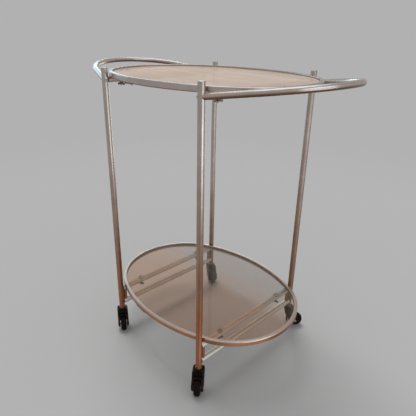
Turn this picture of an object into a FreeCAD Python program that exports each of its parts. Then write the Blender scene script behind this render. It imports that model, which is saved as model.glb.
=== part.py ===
"""Oval two-tier tea trolley: tube end frames, two framed glass trays and four swivelling castors.

Units are millimetres.  The origin is on the floor, midway between the four legs.
+X runs along the trolley from handle to handle, +Y across it, and +Z is up.
The legs stand in two end frames, one at each end of X.  A bow handle joins the two legs of a frame.
"""
import FreeCAD, Part
import Sketcher
import math
import os

DOC = FreeCAD.newDocument("tea_trolley")

# ---------------------------------------------------------------- driving dimensions
SIZES = [
    ("leg_spread_long", 327.4, "between leg axes along the trolley"),
    ("leg_spread_wide", 362, "between the two leg axes of an end frame"),
    ("leg_diameter", 15, "leg tube"),
    ("leg_wall", 1.2, "leg tube wall"),
    ("leg_foot_height", 64, "floor to the lower end of the leg tube"),
    ("leg_top_height", 726, "floor to the top of the leg end plug"),
    ("plug_head_thickness", 1.6, "flat head of the leg end plug"),
    ("plug_chamfer", 0.8, "top edge of the leg end plug"),
    ("plug_stem_length", 12, "part of the plug inside the tube"),
    ("push_fit_gap", 0.05, "radial gap of plugs, pins and sleeves in their tubes"),
    ("cope_gap", 0.1, "gap where a tube end is shaped to another tube"),
    ("cross_tube_setback", 6, "end of a cross tube, back from the leg axis"),
    ("handle_diameter", 13, "handle tube"),
    ("handle_wall", 1.2, "handle tube wall"),
    ("handle_drop", 28, "top of the legs down to the handle axis at the leg"),
    ("handle_rise", 28, "handle axis, from the leg up to its outermost point"),
    ("handle_reach", 361, "trolley centre to the handle axis at its outermost point"),
    ("handle_bend_radius", 154, "bend of the handle, at its axis"),
    ("handle_plug_length", 14, "nut plug in each handle end"),
    ("handle_plug_setback", 4.5, "nut plug, back from the leg"),
    ("handle_screw_diameter", 4, "screw through the leg into the handle"),
    ("handle_screw_bite", 12, "screw length inside the handle plug"),
    ("screw_head_diameter", 7, "domed head of the handle screw"),
    ("screw_head_sink", 0.6, "hollow in the head's seat, shaped to the leg"),
    ("screw_head_height", 2.2, "domed head of the handle screw"),
    ("screw_head_rim", 0.8, "straight edge of the handle screw's head"),
    ("screw_crown_diameter", 3.5, "flat top of the handle screw's head"),
    ("tray_half_length", 270, "tray rim axis, centre to end"),
    ("tray_side_radius", 400, "tray rim axis, long arc at each side of the oval"),
    ("tray_leg_gap", 5, "outer face of the rim to the leg beside it"),
    ("rim_height", 14, "rim section"),
    ("rim_width", 8, "rim section"),
    ("rim_outer_rounding", 3.4, "outer edges of the rim section"),
    ("rim_inner_rounding", 0.8, "inner edges of the rim section"),
    ("rim_groove_depth", 3.5, "glazing groove in the inner face of the rim"),
    ("top_rim_drop", 23, "top of the legs down to the underside of the top rim"),
    ("bottom_rim_height", 127.5, "floor to the underside of the bottom rim"),
    ("rim_joint_offset", -44, "rim butt joint, along X from the centre"),
    ("rim_joint_gap", 0.4, "open width of the rim butt joint"),
    ("glass_thickness", 4, "tray glass"),
    ("glass_drop", 4, "top of the rim to the top of the glass"),
    ("glass_edge_rounding", 0.6, "ground edge of the glass"),
    ("glass_gap", 0.15, "play of the glass in its seal"),
    ("seal_thickness", 1, "wall of the glazing seal"),
    ("seal_lip", 1.4, "part of the seal that shows inside the rim"),
    ("splice_length", 40, "strip under the rim joint"),
    ("splice_width", 6, "strip under the rim joint"),
    ("splice_thickness", 1.5, "strip under the rim joint"),
    ("splice_screw_spacing", 24, "between the two screws of a splice"),
    ("splice_screw_diameter", 2.5, "splice screws"),
    ("splice_screw_bite", 4, "splice screw length in the rim"),
    ("splice_head_diameter", 5, "pan head of a splice screw"),
    ("splice_head_height", 1.4, "pan head of a splice screw"),
    ("splice_crown_diameter", 4, "flat top of a splice screw's head"),
    ("crossbar_diameter", 15, "tube under each tray, between the legs"),
    ("crossbar_wall", 1.2, "crossbar tube wall"),
    ("saddle_gap", 0.15, "gap between the rim's saddle and the crossbar"),
    ("rail_diameter", 15, "lower rail of each end frame"),
    ("rail_wall", 1.2, "lower rail tube wall"),
    ("rail_height", 80, "lower rail axis above the floor"),
    ("post_diameter", 10, "short post between rail and crossbar"),
    ("post_leg_gap", 0.6, "between a post and the leg beside it"),
    ("dowel_length", 14, "dowel body inside a tube end"),
    ("dowel_setback", 2.5, "dowel body back from the leg"),
    ("spigot_diameter", 6, "dowel spigot that enters the leg"),
    ("top_bolt_inset", 44, "leg axis to a top tray bolt, along the crossbar"),
    ("bottom_bolt_inset", 70, "leg axis to a bottom tray bolt, along the crossbar"),
    ("bolt_diameter", 5, "tray bolts"),
    ("bolt_hole_gap", 0.15, "radial gap around a tray bolt"),
    ("bolt_head_diameter", 9, "flat head of a tray bolt"),
    ("bolt_head_thickness", 1.2, "flat head of a tray bolt"),
    ("bolt_tail", 3, "bolt end below the wing nut"),
    ("pad_diameter", 14, "rubber pad under the glass"),
    ("pad_thickness", 2, "rubber pad over the crown of the crossbar"),
    ("pad_wrap", 4, "how far the pad reaches down the crossbar's side"),
    ("wing_hub_diameter", 9, "wing nut hub, at the crossbar"),
    ("wing_hub_end_diameter", 7, "wing nut hub, lower end"),
    ("wing_nut_height", 6, "wing nut hub"),
    ("wing_span", 21, "over both wings"),
    ("wing_thickness", 1.8, "each wing"),
    ("wing_depth", 8.5, "hub face to the lowest point of the wings"),
    ("wing_blade", 4.5, "each wing, from its upper to its lower corner"),
    ("wing_taper", 2.5, "lower corner of a wing, back from its tip"),
    ("wing_rounding", 1.2, "corners of a wing"),
    ("wheel_diameter", 40, "castor wheel over the tyre"),
    ("tyre_width", 17, "castor wheel"),
    ("tyre_rounding", 5, "tyre shoulders"),
    ("tyre_inset", 1, "tyre's side at the hub, back from its widest"),
    ("hub_diameter", 28, "castor wheel inside the tyre"),
    ("hub_dish_depth", 3, "recess in each side of the hub"),
    ("hub_boss_diameter", 11, "boss round the axle"),
    ("axle_diameter", 5, "castor axle"),
    ("axle_gap", 0.06, "radial running gap of the wheel on its axle"),
    ("axle_head_diameter", 9, "axle head on each side of the fork"),
    ("axle_head_thickness", 1, "axle head on each side of the fork"),
    ("axle_crown_diameter", 7, "flat top of the axle head"),
    ("castor_trail", 23, "swivel axis to wheel axis"),
    ("fork_width", 30, "castor hood over both cheeks"),
    ("fork_side_gap", 0.7, "wheel to cheek"),
    ("fork_top_gap", 0.3, "hood to the socket flange"),
    ("fork_rounding", 4, "side edges of the hood"),
    ("hood_rounding", 5, "corners of the hood's side outline"),
    ("cheek_rounding", 7, "lower corners of the cheeks, round the axle"),
    ("wheel_well_gap", 3, "tyre to the inside of the hood"),
    ("hood_front", 13, "swivel axis forward to the hood's upper front corner"),
    ("hood_crown", 9, "swivel axis back to the start of the hood's slope"),
    ("hood_throat", 7, "swivel axis forward to the hood above the wheel"),
    ("hood_throat_height", 41, "floor to the hood's front above the wheel"),
    ("hood_back", 17, "swivel axis to the back of the hood"),
    ("hood_back_low", 45, "floor to the lower back corner of the hood"),
    ("hood_back_high", 54, "floor to the upper back corner of the hood"),
    ("cheek_front", 5, "swivel axis back to the front of the cheeks"),
    ("cheek_front_height", 24, "floor to the front corner of the cheeks"),
    ("cheek_half_width", 8, "cheek's lower end, each side of the axle axis"),
    ("cheek_drop", 9, "cheek below the axle axis"),
    ("cheek_back", 10, "cheek's back corner, behind the axle axis"),
    ("cheek_back_height", 29, "floor to the back corner of the cheeks"),
    ("stem_diameter", 8, "swivel stem"),
    ("stem_bottom_height", 43, "floor to the lower end of the stem"),
    ("stem_top_height", 90, "floor to the upper end of the stem"),
    ("stem_chamfer", 1, "upper end of the stem"),
    ("stem_gap", 0.06, "radial running gap of the stem in its socket"),
    ("socket_length", 27, "socket sleeve inside the leg"),
    ("socket_flange_thickness", 2, "socket flange under the leg"),
    ("socket_flange_diameter", 17, "socket flange under the leg"),
]

SHEET = DOC.addObject("Spreadsheet::Sheet", "sizes")
for row, (alias, value, meaning) in enumerate(SIZES, start=1):
    SHEET.set(f"A{row}", alias)
    SHEET.set(f"B{row}", str(value))
    SHEET.set(f"C{row}", meaning)
    SHEET.setAlias(f"B{row}", alias)
DOC.recompute()

# Expressions that several pieces share.
LEG_X = "sizes.leg_spread_long / 2"
LEG_Y = "sizes.leg_spread_wide / 2"
LEG_RADIUS = "sizes.leg_diameter / 2"
LEG_BORE = "(sizes.leg_diameter / 2 - sizes.leg_wall)"
HANDLE_LEG_Z = "(sizes.leg_top_height - sizes.handle_drop)"
TRAY_LEG_DISTANCE = "(sizes.rim_width / 2 + sizes.tray_leg_gap + sizes.leg_diameter / 2)"
TRAY_SIDE_CENTRE = (
    f"(sqrt((sizes.tray_side_radius + {TRAY_LEG_DISTANCE}) ^ 2 - (sizes.leg_spread_long / 2) ^ 2)"
    " - sizes.leg_spread_wide / 2)"
)
TRAY_HALF_WIDTH = f"(sizes.tray_side_radius - {TRAY_SIDE_CENTRE})"
TRAY_END_RADIUS = (
    f"((sizes.tray_side_radius ^ 2 - sizes.tray_half_length ^ 2 - {TRAY_SIDE_CENTRE} ^ 2)"
    " / (2 * (sizes.tray_side_radius - sizes.tray_half_length)))"
)
TOP_RIM_BASE = "(sizes.leg_top_height - sizes.top_rim_drop)"
GLASS_UNDERSIDE = "(sizes.rim_height - sizes.glass_drop - sizes.glass_thickness)"
TOP_GLASS_BASE = f"({TOP_RIM_BASE} + {GLASS_UNDERSIDE})"
BOTTOM_GLASS_BASE = f"(sizes.bottom_rim_height + {GLASS_UNDERSIDE})"
CROSSBAR_DROP = "(sizes.pad_thickness + sizes.crossbar_diameter / 2)"
TOP_CROSSBAR_Z = f"({TOP_GLASS_BASE} - {CROSSBAR_DROP})"
BOTTOM_CROSSBAR_Z = f"({BOTTOM_GLASS_BASE} - {CROSSBAR_DROP})"
GROOVE_HEIGHT = "(sizes.glass_thickness + sizes.glass_gap + 2 * sizes.seal_thickness)"
TOP_BOLT_Y = f"({LEG_Y} - sizes.top_bolt_inset)"
BOTTOM_BOLT_Y = f"({LEG_Y} - sizes.bottom_bolt_inset)"
POST_Y = f"({LEG_Y} - {LEG_RADIUS} - sizes.post_leg_gap - sizes.post_diameter / 2)"
WHEEL_RADIUS = "(sizes.wheel_diameter / 2)"
WELL_RADIUS = "(sizes.wheel_diameter / 2 + sizes.wheel_well_gap)"
FORK_TOP = "(sizes.leg_foot_height - sizes.socket_flange_thickness - sizes.fork_top_gap)"
SAME_PLACE = 1e-3  # how near an edge must lie to the place that it is looked for at

# Signs of the leg positions along X and Y, and the way each castor trails in the rest pose (degrees).
CORNERS = {
    "front_left": (-1, -1, -30),
    "front_right": (1, -1, -50),
    "rear_left": (-1, 1, -30),
    "rear_right": (1, 1, 35),
}
ENDS = {"left": -1, "right": 1}
PARTS = []


# ---------------------------------------------------------------- helpers
def number(expression):
    """Value of an expression over the sheet."""
    return float(SHEET.evalExpression(expression.replace("sizes.", "")))


def bind(thing, **paths):
    """Bind properties, given with __ for a dot, to expressions over the sheet."""
    for path, expression in paths.items():
        thing.setExpression(path.replace("__", "."), expression)


def place(thing, x="0", y="0", z="0", turn=0, axis=(0, 0, 1)):
    """Set a piece's place, bound to the sheet, and its turn in degrees about an axis."""
    thing.Placement = FreeCAD.Placement(
        FreeCAD.Vector(number(x), number(y), number(z)),
        FreeCAD.Rotation(FreeCAD.Vector(*axis), turn),
    )
    bind(thing, Placement__Base__x=x, Placement__Base__y=y, Placement__Base__z=z)


def keep(thing, label):
    """Name a finished piece and list it for export."""
    thing.Label = label
    PARTS.append(thing)
    return thing


def body(name):
    return DOC.addObject("PartDesign::Body", name)


def sketch(owner, name, plane, height="0"):
    """A sketch on one of the body's own origin planes, moved along that plane's normal."""
    made = owner.newObject("Sketcher::SketchObject", name)
    support = [f for f in owner.Origin.OriginFeatures if f.Role == plane][0]
    made.AttachmentSupport = [(support, "")]
    made.MapMode = "FlatFace"
    if height != "0":
        bind(made, AttachmentOffset__Base__z=height)
    return made


def constrain(made, *rule, expression=None):
    index = made.addConstraint(Sketcher.Constraint(*rule))
    if expression is not None:
        made.setExpression(f"Constraints[{index}]", expression)
    return index


def pin_point(made, geometry, point, x, y):
    """Hold a sketch point at a place given by two expressions."""
    for axis_line, rule, expression in ((-2, "DistanceX", x), (-1, "DistanceY", y)):
        value = number(expression)
        if abs(value) < 1e-9:
            constrain(made, "PointOnObject", geometry, point, axis_line)
        elif value > 0:
            constrain(made, rule, -1, 1, geometry, point, value, expression=expression)
        else:
            constrain(made, rule, geometry, point, -1, 1, -value, expression=f"-({expression})")


def circle(made, radius, x="0", y="0"):
    """A circle whose radius and centre follow expressions."""
    centre = FreeCAD.Vector(number(x), number(y), 0)
    index = made.addGeometry(Part.Circle(centre, FreeCAD.Vector(0, 0, 1), number(radius)), False)
    constrain(made, "Radius", index, number(radius), expression=radius)
    pin_point(made, index, 3, x, y)
    return index


def outline(made, points):
    """A closed outline of straight lines through points given as pairs of expressions."""
    spots = [FreeCAD.Vector(number(x), number(y), 0) for x, y in points]
    lines = []
    for here, there in zip(spots, spots[1:] + spots[:1]):
        lines.append(made.addGeometry(Part.LineSegment(here, there), False))
    for this, following in zip(lines, lines[1:] + lines[:1]):
        constrain(made, "Coincident", this, 2, following, 1)
    for line, (x, y) in zip(lines, points):
        pin_point(made, line, 1, x, y)
    return lines


def oval(made, grow):
    """The tray's oval of four tangent arcs, offset outwards from the rim axis by an expression."""
    end_radius = f"({TRAY_END_RADIUS} + {grow})"
    end_centre = f"(sizes.tray_half_length - {TRAY_END_RADIUS})"
    side_radius = f"(sizes.tray_side_radius + {grow})"
    side_centre = number(TRAY_SIDE_CENTRE)
    split = math.atan2(side_centre, number(end_centre))
    up = FreeCAD.Vector(0, 0, 1)
    arcs = []
    for centre_x, centre_y, radius, start, end in (
        (number(end_centre), 0, end_radius, -split, split),
        (0, -side_centre, side_radius, split, math.pi - split),
        (-number(end_centre), 0, end_radius, math.pi - split, math.pi + split),
        (0, side_centre, side_radius, math.pi + split, 2 * math.pi - split),
    ):
        ring = Part.Circle(FreeCAD.Vector(centre_x, centre_y, 0), up, number(radius))
        arcs.append(made.addGeometry(Part.ArcOfCircle(ring, start, end), False))
    for this, following in zip(arcs, arcs[1:] + arcs[:1]):
        constrain(made, "Tangent", this, 2, following, 1)
    pin_point(made, arcs[0], 3, end_centre, "0")
    pin_point(made, arcs[2], 3, f"-{end_centre}", "0")
    for arc, radius in zip(arcs, (end_radius, side_radius, end_radius, side_radius)):
        constrain(made, "Radius", arc, number(radius), expression=radius)


def pad(owner, made, length, both_ways=False):
    made_pad = owner.newObject("PartDesign::Pad", made.Name + "_pad")
    made_pad.Profile = made
    if both_ways:
        made_pad.SideType = "Symmetric"
    bind(made_pad, Length=length)
    return made_pad


def pocket(owner, made, length=None, through=False, upwards=True):
    """Cut with a sketch: a depth on the sketch's upper or lower side, or right through both ways."""
    cut = owner.newObject("PartDesign::Pocket", made.Name + "_cut")
    cut.Profile = made
    if through:
        cut.SideType = "Symmetric"
        cut.Type = "ThroughAll"
    else:
        cut.Reversed = upwards
        bind(cut, Length=length)
    return cut


def turned(owner, name, points):
    """A solid turned about the body's Z axis from an outline of (radius, height) expressions."""
    profile = sketch(owner, name, "XZ_Plane")
    outline(profile, points)
    spin = owner.newObject("PartDesign::Revolution", name + "_turned")
    spin.Profile = profile
    spin.ReferenceAxis = (profile, ["V_Axis"])
    spin.Angle = 360
    return spin


def round_edges(owner, feature, radius, wanted):
    """Round the edges of a feature that a test on the edge accepts."""
    DOC.recompute()
    names = []
    for index, edge in enumerate(feature.Shape.Edges, start=1):
        if wanted(edge):
            names.append(f"Edge{index}")
    made = owner.newObject("PartDesign::Fillet", feature.Name + "_round")
    made.Base = (feature, names)
    bind(made, Radius=radius)
    return made


def copies(label, source, places, shaped_to=()):
    """A group of separate solids: the source's shape at each placement, cut to fit other pieces."""
    shapes = []
    for seat in places:
        moved = source.Shape.copy()
        moved.Placement = seat.multiply(moved.Placement)
        for neighbour in shaped_to:
            if moved.BoundBox.intersect(neighbour.Shape.BoundBox):
                moved = moved.cut(neighbour.Shape)
        shapes += moved.Solids
    group = DOC.addObject("Part::Feature", label)
    group.Shape = Part.makeCompound(shapes)
    return keep(group, label)


def spot(x, y, z, turn=0):
    return FreeCAD.Placement(FreeCAD.Vector(x, y, z), FreeCAD.Rotation(FreeCAD.Vector(0, 0, 1), turn))


def leg_spots(height):
    """Placements on the four leg axes, at one height."""
    return [
        spot(side * number(LEG_X), across * number(LEG_Y), height)
        for side, across, trail in CORNERS.values()
    ]


# ---------------------------------------------------------------- legs and their end plugs
def handle_end_direction():
    """Unit vector from a right-hand rear leg's axis along the handle's straight end."""
    reach = number("sizes.handle_reach") - number(LEG_X)
    rise = number("sizes.handle_rise")
    slope_reach = math.hypot(reach, rise)
    radius = number("sizes.handle_bend_radius")
    centre = slope_reach - radius
    half = number(LEG_Y)
    distance = math.hypot(centre, half)
    bearing = math.atan2(-half, centre)
    turn = math.asin(radius / distance)
    along = math.cos(bearing + turn)
    across = math.sin(bearing + turn)
    return FreeCAD.Vector(along * reach / slope_reach, across, along * rise / slope_reach)


def handle_joint(side, across):
    """Point on a leg's axis and direction of the handle end that meets it there."""
    towards = handle_end_direction()
    point = FreeCAD.Vector(
        side * number(LEG_X), across * number(LEG_Y), number(HANDLE_LEG_Z)
    )
    return point, FreeCAD.Vector(side * towards.x, across * towards.y, towards.z)


def along(point, direction):
    """Placement whose Z axis runs from a point in a direction."""
    return FreeCAD.Placement(point, FreeCAD.Rotation(FreeCAD.Vector(0, 0, 1), direction))


def make_leg(label, side, across):
    """Leg tube with a cross hole for the handle screw and holes for the dowels of the cross tubes."""
    tube = body(label + "_tube")
    ring = sketch(tube, label + "_section", "XY_Plane")
    circle(ring, LEG_RADIUS)
    circle(ring, LEG_BORE)
    pad(tube, ring, "sizes.leg_top_height - sizes.plug_head_thickness - sizes.leg_foot_height")
    place(tube, f"{side} * {LEG_X}", f"{across} * {LEG_Y}", "sizes.leg_foot_height")
    drills = []
    for index, height in enumerate((TOP_CROSSBAR_Z, BOTTOM_CROSSBAR_Z, "sizes.rail_height")):
        drill = DOC.addObject("Part::Cylinder", f"{label}_dowel_hole_{index + 1}")
        bind(drill, Radius="sizes.spigot_diameter / 2 + sizes.push_fit_gap", Height="sizes.leg_diameter")
        place(drill, f"{side} * {LEG_X}", f"{across} * {LEG_Y}", height, 90 * across, (1, 0, 0))
        drills.append(drill)
    cross = DOC.addObject("Part::Cylinder", label + "_screw_hole")
    bind(cross, Radius="sizes.handle_screw_diameter / 2 + sizes.push_fit_gap",
         Height="2 * sizes.leg_diameter")
    point, direction = handle_joint(side, across)
    cross.Placement = along(point - direction * number("sizes.leg_diameter"), direction)
    drills.append(cross)
    holes = DOC.addObject("Part::MultiFuse", label + "_holes")
    holes.Shapes = drills
    leg = DOC.addObject("Part::Cut", label)
    leg.Base = tube
    leg.Tool = holes
    return keep(leg, label)


LEGS = [make_leg(f"{corner}_leg", side, across) for corner, (side, across, trail) in CORNERS.items()]

plug = body("leg_end_plug")
turned(plug, "plug_profile", [
    ("0", "-sizes.plug_head_thickness - sizes.plug_stem_length"),
    (f"{LEG_BORE} - sizes.push_fit_gap", "-sizes.plug_head_thickness - sizes.plug_stem_length"),
    (f"{LEG_BORE} - sizes.push_fit_gap", "-sizes.plug_head_thickness"),
    (LEG_RADIUS, "-sizes.plug_head_thickness"),
    (LEG_RADIUS, "-sizes.plug_chamfer"),
    (f"{LEG_RADIUS} - sizes.plug_chamfer", "0"),
    ("0", "0"),
])
DOC.recompute()
copies("leg_end_plugs", plug, leg_spots(number("sizes.leg_top_height")))


# ---------------------------------------------------------------- bow handles, their plugs and screws
def make_handle(label, side):
    """Bow of tube in a plane that rises outwards: two straight ends and one long bend."""
    slope = f"atan(sizes.handle_rise / (sizes.handle_reach - {LEG_X}))"
    slope_reach = f"((sizes.handle_reach - {LEG_X}) / cos({slope}))"
    bow = body(label + "_bow")
    reach = number(slope_reach)
    radius = number("sizes.handle_bend_radius")
    half = number(LEG_Y)
    centre = reach - radius
    distance = math.hypot(centre, half)
    bearing = math.atan2(half, -centre)
    touch = bearing - math.acos(radius / distance)
    tangent_point = FreeCAD.Vector(centre + radius * math.cos(touch), radius * math.sin(touch), 0)
    path = sketch(bow, label + "_path", "XY_Plane")
    up = FreeCAD.Vector(0, 0, 1)
    bend = path.addGeometry(
        Part.ArcOfCircle(Part.Circle(FreeCAD.Vector(centre, 0, 0), up, radius), 0, touch), False
    )
    run = path.addGeometry(Part.LineSegment(tangent_point, FreeCAD.Vector(0, half, 0)), False)
    constrain(path, "Tangent", bend, 2, run, 1)
    constrain(path, "Radius", bend, radius, expression="sizes.handle_bend_radius")
    pin_point(path, bend, 3, f"{slope_reach} - sizes.handle_bend_radius", "0")
    constrain(path, "PointOnObject", bend, 1, -1)
    pin_point(path, run, 2, "0", LEG_Y)
    section = sketch(bow, label + "_section", "XZ_Plane")
    circle(section, "sizes.handle_diameter / 2", slope_reach)
    circle(section, "sizes.handle_diameter / 2 - sizes.handle_wall", slope_reach)
    pipe = bow.newObject("PartDesign::AdditivePipe", label + "_half")
    pipe.Profile = section
    pipe.Spine = (path, ["Edge1", "Edge2"])
    mirror = bow.newObject("PartDesign::Mirrored", label + "_whole")
    mirror.Originals = [pipe]
    mirror.MirrorPlane = ([f for f in bow.Origin.OriginFeatures if f.Role == "XZ_Plane"][0], [""])
    bow.Tip = mirror
    tilt = FreeCAD.Rotation(FreeCAD.Vector(0, 1, 0), -number(slope))
    face_out = FreeCAD.Rotation(up, 0 if side > 0 else 180)
    bow.Placement = FreeCAD.Placement(
        FreeCAD.Vector(side * number(LEG_X), 0, number(HANDLE_LEG_Z)), face_out.multiply(tilt)
    )
    bind(bow, Placement__Base__x=f"{side} * {LEG_X}", Placement__Base__z=HANDLE_LEG_Z)
    posts = []
    for across in (-1, 1):
        post = DOC.addObject("Part::Cylinder", f"{label}_cope_{'front' if across < 0 else 'rear'}")
        bind(post, Radius=f"{LEG_RADIUS} + sizes.cope_gap", Height="4 * sizes.handle_diameter")
        place(post, f"{side} * {LEG_X}", f"{across} * {LEG_Y}",
              f"{HANDLE_LEG_Z} - 2 * sizes.handle_diameter")
        posts.append(post)
        tail = DOC.addObject("Part::Box", f"{label}_trim_{'front' if across < 0 else 'rear'}")
        bind(tail, Length="2 * sizes.leg_diameter", Width="4 * sizes.leg_diameter",
             Height="4 * sizes.handle_diameter")
        place(tail, f"{side} * {LEG_X} - {1 + side} * sizes.leg_diameter",
              f"{across} * {LEG_Y} - 2 * sizes.leg_diameter",
              f"{HANDLE_LEG_Z} - 2 * sizes.handle_diameter")
        posts.append(tail)
    bar = DOC.addObject("Part::Cylinder", label + "_crossbar_cope")
    half_bar = f"({LEG_Y} - sizes.cross_tube_setback + sizes.cope_gap)"
    bind(bar, Radius="sizes.crossbar_diameter / 2 + sizes.cope_gap", Height=f"2 * {half_bar}")
    place(bar, f"{side} * {LEG_X}", half_bar, TOP_CROSSBAR_Z, 90, (1, 0, 0))
    posts.append(bar)
    tools = DOC.addObject("Part::MultiFuse", label + "_cope_tools")
    tools.Shapes = posts
    made = DOC.addObject("Part::Cut", label + "_coped")
    made.Base = bow
    made.Tool = tools
    return keep(made, label)


for end, side in ENDS.items():
    make_handle(f"{end}_handle", side)

nut = body("handle_end_plug")
NUT_START = f"({LEG_RADIUS} + sizes.handle_plug_setback)"
NUT_RADIUS = "(sizes.handle_diameter / 2 - sizes.handle_wall - sizes.push_fit_gap)"
turned(nut, "nut_profile", [
    ("sizes.handle_screw_diameter / 2", NUT_START),
    (NUT_RADIUS, NUT_START),
    (NUT_RADIUS, f"{NUT_START} + sizes.handle_plug_length"),
    ("sizes.handle_screw_diameter / 2", f"{NUT_START} + sizes.handle_plug_length"),
])
screw = body("handle_end_screw")
turned(screw, "screw_profile", [
    ("0", f"-{LEG_RADIUS} - sizes.screw_head_height"),
    ("sizes.screw_crown_diameter / 2", f"-{LEG_RADIUS} - sizes.screw_head_height"),
    ("sizes.screw_head_diameter / 2", f"-{LEG_RADIUS} - sizes.screw_head_rim"),
    ("sizes.screw_head_diameter / 2", f"-{LEG_RADIUS} + sizes.screw_head_sink"),
    ("sizes.handle_screw_diameter / 2", f"-{LEG_RADIUS} + sizes.screw_head_sink"),
    ("sizes.handle_screw_diameter / 2", f"{NUT_START} + sizes.handle_screw_bite"),
    ("0", f"{NUT_START} + sizes.handle_screw_bite"),
])
DOC.recompute()
joints = [handle_joint(side, across) for side, across, trail in CORNERS.values()]
copies("handle_end_plugs", nut, [along(point, direction) for point, direction in joints])
copies("handle_screws", screw, [along(point, direction) for point, direction in joints], LEGS)


# ---------------------------------------------------------------- tray rims, seals and glass
def oval_channel(label, outer, inner, height, base, slot_outer, slot_base, slot_height):
    """A closed oval section with a slot cut into its inner face."""
    ring = body(label + "_ring")
    outside = sketch(ring, label + "_outside", "XY_Plane")
    oval(outside, outer)
    last = pad(ring, outside, height)
    opening = sketch(ring, label + "_opening", "XY_Plane")
    oval(opening, inner)
    pocket(ring, opening, height)
    slot = sketch(ring, label + "_slot", "XY_Plane", slot_base)
    oval(slot, slot_outer)
    last = pocket(ring, slot, slot_height)
    place(ring, z=base)
    return ring, last


def is_oval_edge(edge, grow, heights):
    """True for an arc of the oval offset by grow that lies at one of the heights."""
    if not hasattr(edge.Curve, "Radius"):
        return False
    low, high = edge.BoundBox.ZMin, edge.BoundBox.ZMax
    if high - low > SAME_PLACE or min(abs(low - level) for level in heights) > SAME_PLACE:
        return False
    half_length = number("sizes.tray_half_length") + grow
    half_width = number(TRAY_HALF_WIDTH) + grow
    middle = edge.valueAt((edge.FirstParameter + edge.LastParameter) / 2)
    on_end = abs(abs(middle.x) - half_length) < SAME_PLACE and abs(middle.y) < SAME_PLACE
    on_side = abs(abs(middle.y) - half_width) < SAME_PLACE and abs(middle.x) < SAME_PLACE
    return on_end or on_side


def make_rim(label, base, crossbar_height):
    """Rim rail bent to the oval, rounded outside, grooved inside and notched over the crossbars."""
    ring, last = oval_channel(
        label, "sizes.rim_width / 2", "-sizes.rim_width / 2", "sizes.rim_height", base,
        "-sizes.rim_width / 2 + sizes.rim_groove_depth",
        f"{GLASS_UNDERSIDE} - sizes.seal_thickness", GROOVE_HEIGHT,
    )
    levels = (0, number("sizes.rim_height"))
    half = number("sizes.rim_width") / 2
    last = round_edges(ring, last, "sizes.rim_outer_rounding", lambda e: is_oval_edge(e, half, levels))
    last = round_edges(ring, last, "sizes.rim_inner_rounding", lambda e: is_oval_edge(e, -half, levels))
    saddle = sketch(ring, label + "_saddle", "XZ_Plane")
    for side in (-1, 1):
        circle(saddle, "sizes.crossbar_diameter / 2 + sizes.saddle_gap",
               f"{side} * {LEG_X}", f"{crossbar_height} - {base}")
    pocket(ring, saddle, through=True)
    saw = sketch(ring, label + "_saw", "XY_Plane")
    left = "sizes.rim_joint_offset - sizes.rim_joint_gap / 2"
    right = "sizes.rim_joint_offset + sizes.rim_joint_gap / 2"
    near = f"-{TRAY_HALF_WIDTH} - 2 * sizes.rim_width"
    far = f"-{TRAY_HALF_WIDTH} + 4 * sizes.rim_width"
    outline(saw, [(left, near), (right, near), (right, far), (left, far)])
    pocket(ring, saw, "sizes.rim_height")
    point, angle = rim_joint_place()
    screw_holes = []
    for index, step in enumerate((-0.5, 0.5)):
        hole = DOC.addObject("Part::Cylinder", f"{label}_splice_hole_{index + 1}")
        bind(hole, Radius="sizes.splice_screw_diameter / 2",
             Height="sizes.splice_screw_bite + 2 * sizes.push_fit_gap")
        offset = step * number("sizes.splice_screw_spacing")
        hole.Placement = spot(
            point.x + offset * math.cos(angle), point.y + offset * math.sin(angle),
            number(base) - number("sizes.push_fit_gap"),
        )
        screw_holes.append(hole)
    drilled = DOC.addObject("Part::MultiFuse", label + "_splice_holes")
    drilled.Shapes = screw_holes
    made = DOC.addObject("Part::Cut", label + "_drilled")
    made.Base = ring
    made.Tool = drilled
    keep(made, label)


def rim_joint_place():
    """Point on the rim axis at the butt joint, and the rim's direction there in radians."""
    x = number("sizes.rim_joint_offset")
    drop = math.sqrt(number("sizes.tray_side_radius") ** 2 - x ** 2)
    point = FreeCAD.Vector(x, number(TRAY_SIDE_CENTRE) - drop, 0)
    return point, math.atan2(x, drop)


def make_splice(label, base):
    """Flat strip under the rim's butt joint, with a hole for each of its two screws."""
    point, angle = rim_joint_place()
    strip = body(label + "_strip")
    shape = sketch(strip, label + "_outline", "XY_Plane")
    half_length = "sizes.splice_length / 2"
    half_width = "sizes.splice_width / 2"
    outline(shape, [
        (f"-{half_length}", f"-{half_width}"), (half_length, f"-{half_width}"),
        (half_length, half_width), (f"-{half_length}", half_width),
    ])
    for step in (-1, 1):
        circle(shape, "sizes.splice_screw_diameter / 2 + sizes.push_fit_gap",
               f"{step} * sizes.splice_screw_spacing / 2")
    pad(strip, shape, "sizes.splice_thickness")
    strip.Placement = spot(
        point.x, point.y, number(f"{base} - sizes.splice_thickness"), math.degrees(angle)
    )
    bind(strip, Placement__Base__z=f"{base} - sizes.splice_thickness")
    keep(strip, label)


def make_splice_screws(label, source, base):
    point, angle = rim_joint_place()
    spots = []
    for step in (-0.5, 0.5):
        offset = step * number("sizes.splice_screw_spacing")
        spots.append(spot(
            point.x + offset * math.cos(angle), point.y + offset * math.sin(angle),
            number(f"{base} - sizes.splice_thickness"),
        ))
    copies(label, source, spots)


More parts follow.
